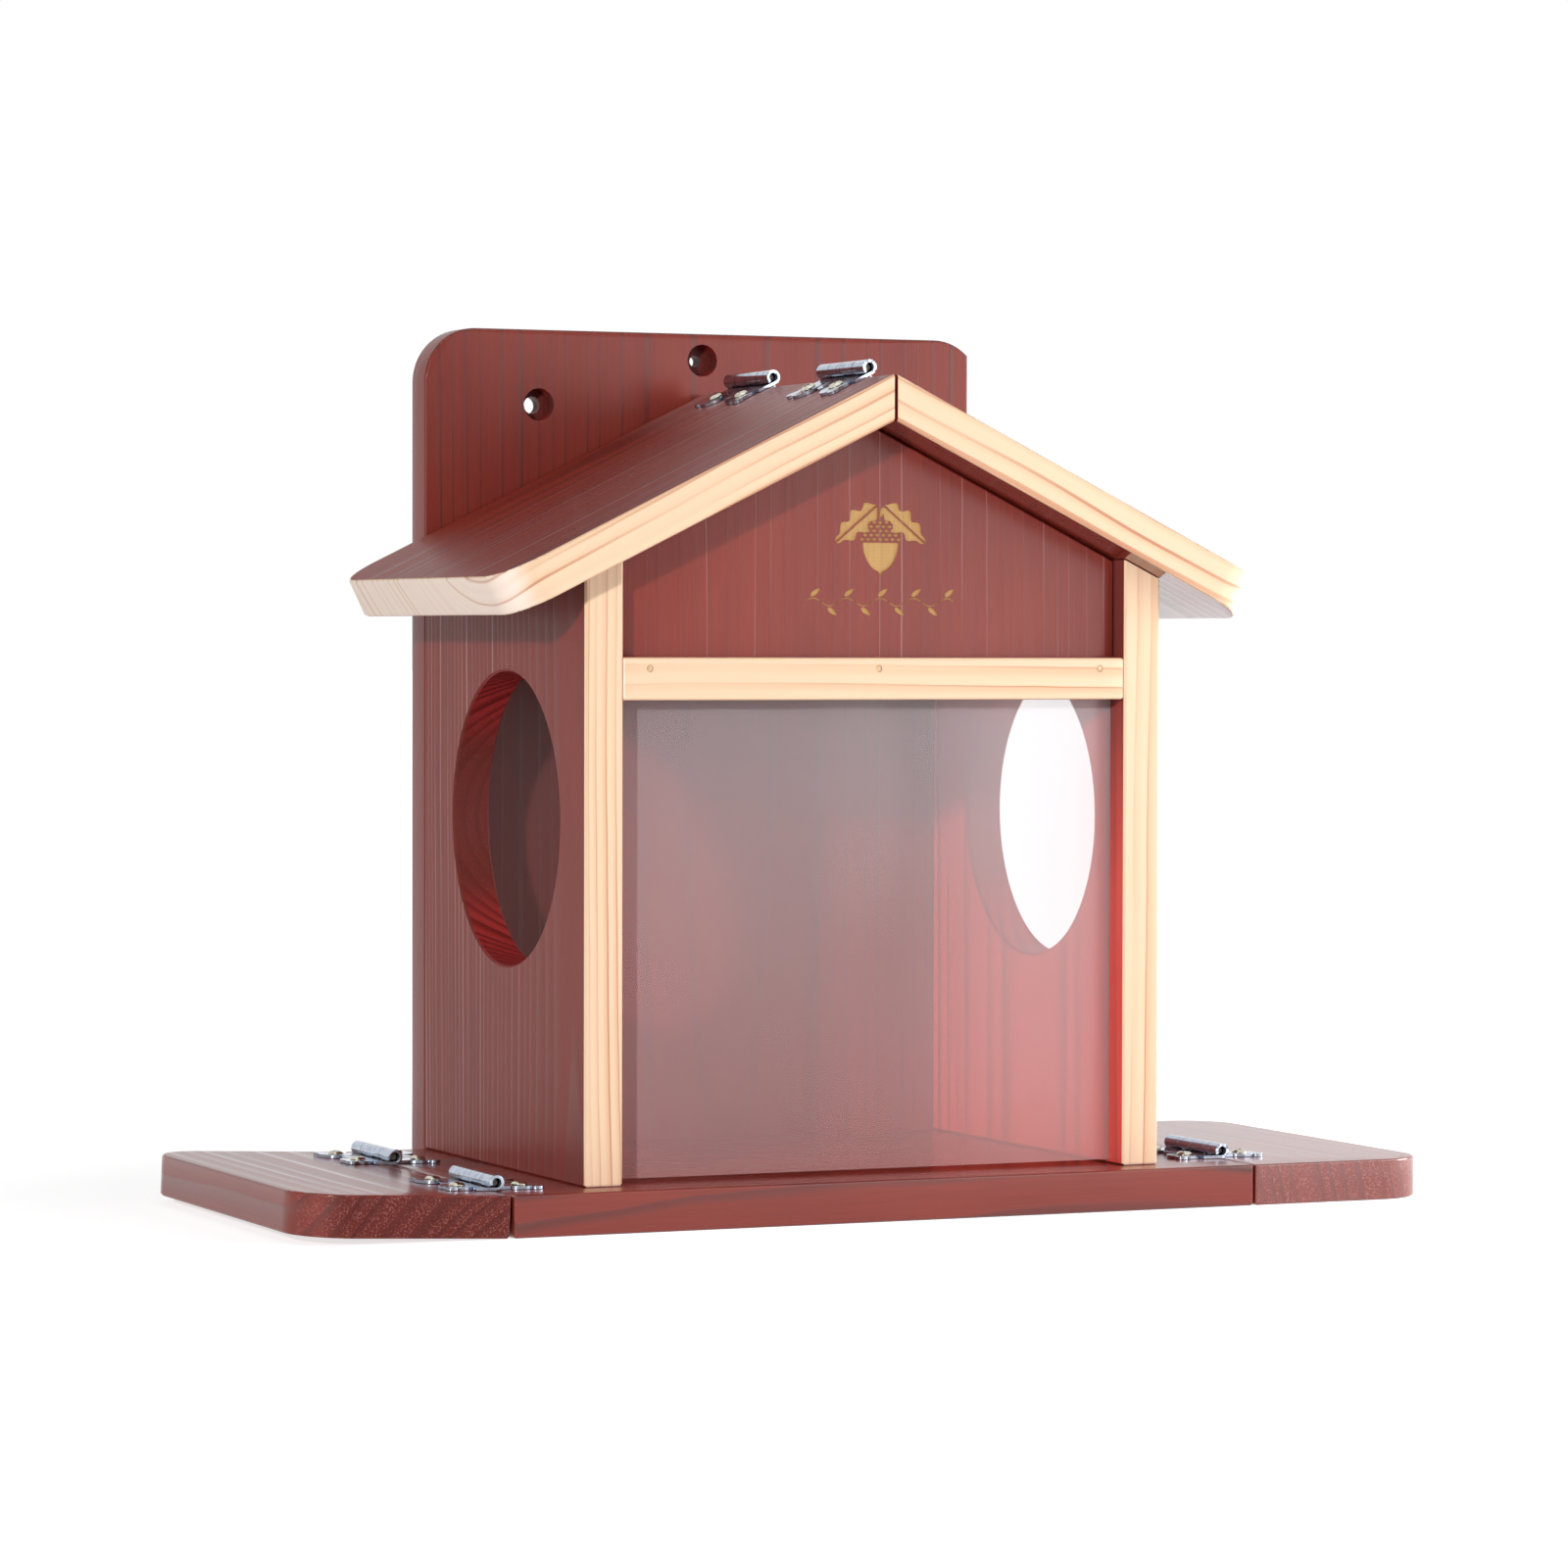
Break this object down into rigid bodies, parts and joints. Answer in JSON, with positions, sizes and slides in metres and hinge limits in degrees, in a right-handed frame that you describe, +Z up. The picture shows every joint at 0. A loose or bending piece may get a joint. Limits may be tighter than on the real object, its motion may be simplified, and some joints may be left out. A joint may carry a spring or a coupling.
{
  "type": "squirrel feeder box",
  "caption": "Gabled wooden feeder box with a round way in through each side, clear front pane, hinged roof half, fold-up side platforms and a hanging back board.",
  "frame": {"origin": "centre of the footprint's bounding rectangle, on the surface that the floor board rests on", "axes": "+X to the right seen from the front, along the ridge's normal; -Y out of the front pane; +Z up"},
  "size_m": [0.4162, 0.1784, 0.3035],
  "materials": {
    "painted_wood": "red-brown satin stain with the grain showing; front edges of walls and roof left bare",
    "natural_wood": "bare planed softwood",
    "clear_pane": "clear glossy sheet",
    "bright_nickel": "bright plated",
    "screw_steel": "yellowish zinc plated"
  },
  "bodies": {
    "box": {"floor_board": "painted_wood", "left_side_wall": "painted_wood", "right_side_wall": "painted_wood", "back_board": "painted_wood", "gable_panel": "painted_wood", "front_rail": "natural_wood", "window_pane": "clear_pane", "left_roof_board": "painted_wood", "floor_screw_1": "screw_steel", "floor_screw_2": "screw_steel", "floor_screw_3": "screw_steel", "floor_screw_4": "screw_steel", "rail_pin_1": "screw_steel", "rail_pin_2": "screw_steel", "rail_pin_3": "screw_steel", "roof_front_hinge_left_leaf": "bright_nickel", "roof_front_hinge_pin": "bright_nickel", "roof_front_hinge_screw_1": "screw_steel", "roof_front_hinge_screw_2": "screw_steel", "roof_rear_hinge_left_leaf": "bright_nickel", "roof_rear_hinge_pin": "bright_nickel", "roof_rear_hinge_screw_1": "screw_steel", "roof_rear_hinge_screw_2": "screw_steel", "left_wing_front_hinge_right_leaf": "bright_nickel", "left_wing_front_hinge_pin": "bright_nickel", "left_wing_front_hinge_screw_3": "screw_steel", "left_wing_front_hinge_screw_4": "screw_steel", "left_wing_rear_hinge_right_leaf": "bright_nickel", "left_wing_rear_hinge_pin": "bright_nickel", "left_wing_rear_hinge_screw_3": "screw_steel", "left_wing_rear_hinge_screw_4": "screw_steel", "right_wing_front_hinge_left_leaf": "bright_nickel", "right_wing_front_hinge_pin": "bright_nickel", "right_wing_front_hinge_screw_1": "screw_steel", "right_wing_front_hinge_screw_2": "screw_steel", "right_wing_rear_hinge_left_leaf": "bright_nickel", "right_wing_rear_hinge_pin": "bright_nickel", "right_wing_rear_hinge_screw_1": "screw_steel", "right_wing_rear_hinge_screw_2": "screw_steel"},
    "left_wing": {"left_wing_board": "painted_wood", "left_wing_front_hinge_left_leaf": "bright_nickel", "left_wing_front_hinge_screw_1": "screw_steel", "left_wing_front_hinge_screw_2": "screw_steel", "left_wing_rear_hinge_left_leaf": "bright_nickel", "left_wing_rear_hinge_screw_1": "screw_steel", "left_wing_rear_hinge_screw_2": "screw_steel"},
    "right_wing": {"right_wing_board": "painted_wood", "right_wing_front_hinge_right_leaf": "bright_nickel", "right_wing_front_hinge_screw_3": "screw_steel", "right_wing_front_hinge_screw_4": "screw_steel", "right_wing_rear_hinge_right_leaf": "bright_nickel", "right_wing_rear_hinge_screw_3": "screw_steel", "right_wing_rear_hinge_screw_4": "screw_steel"},
    "roof_lid": {"right_roof_board": "painted_wood", "roof_front_hinge_right_leaf": "bright_nickel", "roof_front_hinge_screw_3": "screw_steel", "roof_front_hinge_screw_4": "screw_steel", "roof_rear_hinge_right_leaf": "bright_nickel", "roof_rear_hinge_screw_3": "screw_steel", "roof_rear_hinge_screw_4": "screw_steel"}
  },
  "joints": [
    {"name": "roof_lid_hinge", "type": "hinge", "parent": "box", "child": "roof_lid", "pos_m": [0, -0.00825, 0.28536], "axis": [0, -1, 0], "range_deg": [0, 230]},
    {"name": "left_wing_hinge", "type": "hinge", "parent": "box", "child": "left_wing", "pos_m": [-0.1364, -0.0072, 0.01675], "axis": [0, 1, 0], "range_deg": [0, 112]},
    {"name": "right_wing_hinge", "type": "hinge", "parent": "box", "child": "right_wing", "pos_m": [0.1364, -0.00285, 0.01675], "axis": [0, -1, 0], "range_deg": [0, 115]}
  ]
}
